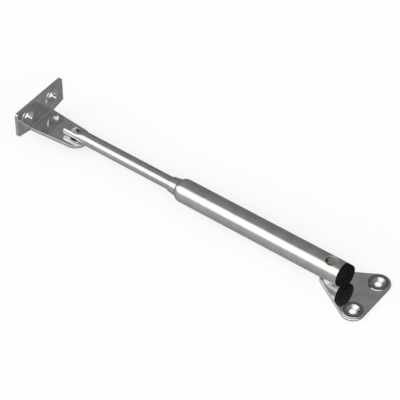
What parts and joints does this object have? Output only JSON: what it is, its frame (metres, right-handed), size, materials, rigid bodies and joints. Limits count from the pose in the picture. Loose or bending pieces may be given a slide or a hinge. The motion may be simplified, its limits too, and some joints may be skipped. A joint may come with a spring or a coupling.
{
  "type": "gas strut stay",
  "caption": "Gas strut stay for a cabinet flap: triangular cabinet plate, sealed gas cylinder with black end cap, sliding rod with flattened end, and L-shaped flap bracket.",
  "frame": {"origin": "Midway between the two fixing holes of the cabinet plate, on the face that lies against the cabinet.", "axes": "+Z leaves the cabinet face along the pivot axes. +X runs along the extended strut from the flap bracket towards the cabinet plate. +Y follows by the right-hand rule, along the line of the cabinet plate's two holes."},
  "size_m": [0.304, 0.052, 0.0296],
  "materials": {
    "plated_steel": "bright nickel plate, mirror-like, with fine rolling and handling marks",
    "turned_steel": "turned and nickel plated, with fine lathe rings",
    "bright_rivet": "zinc plated rivet, faint press marks",
    "plain_steel": "machined steel, lightly oiled",
    "spring_steel": "dark tempered spring steel",
    "black_plastic": "moulded black plastic, fine satin grain",
    "bearing_plastic": "natural acetal, satin",
    "dark_nylon": "glass-filled nylon, dull",
    "black_rubber": "oiled nitrile rubber"
  },
  "bodies": {
    "cabinet": {"cabinet_plate": "plated_steel", "cabinet_rivet": "bright_rivet"},
    "cylinder": {"cylinder_tube": "plated_steel", "tube_end_cap": "black_plastic", "cabinet_pivot_washer": "bearing_plastic", "cabinet_pivot_bush": "bearing_plastic", "base_plug": "plain_steel", "base_plug_o_ring": "black_rubber", "retaining_ring": "spring_steel", "rod_guide": "turned_steel", "rod_wiper": "black_rubber", "guide_bush": "bearing_plastic", "rod_seal": "black_rubber", "seal_washer": "plain_steel", "rebound_buffer": "black_rubber"},
    "ring": {"piston_ring": "black_rubber"},
    "rod": {"piston_rod": "plated_steel", "flap_pivot_washer": "dark_nylon", "flap_pivot_bush": "dark_nylon", "piston_stud": "plain_steel", "piston_washer": "plain_steel", "piston": "dark_nylon", "orifice_disc": "spring_steel", "lock_washer": "spring_steel", "piston_nut": "plain_steel"},
    "flap": {"flap_bracket": "plated_steel", "flap_rivet": "bright_rivet"}
  },
  "joints": [
    {"name": "cabinet_pivot", "type": "hinge", "parent": "cabinet", "child": "cylinder", "pos_m": [-0.029, 0, 0.0022], "axis": [0, 0, 1], "continuous": true},
    {"name": "rod_slide", "type": "slide", "parent": "cylinder", "child": "ring", "axis": [1, 0, 0], "range_m": [0, 0.073], "stiffness_N_per_m": 280, "springref_m": -0.286},
    {"name": "rod_spin", "type": "hinge", "parent": "ring", "child": "rod", "pos_m": [-0.131, 0, 0.0114], "axis": [1, 0, 0], "continuous": true},
    {"name": "flap_pivot", "type": "hinge", "parent": "rod", "child": "flap", "pos_m": [-0.259, 0, 0.0081], "axis": [0, 0, 1], "range_deg": [-100, 100]}
  ]
}
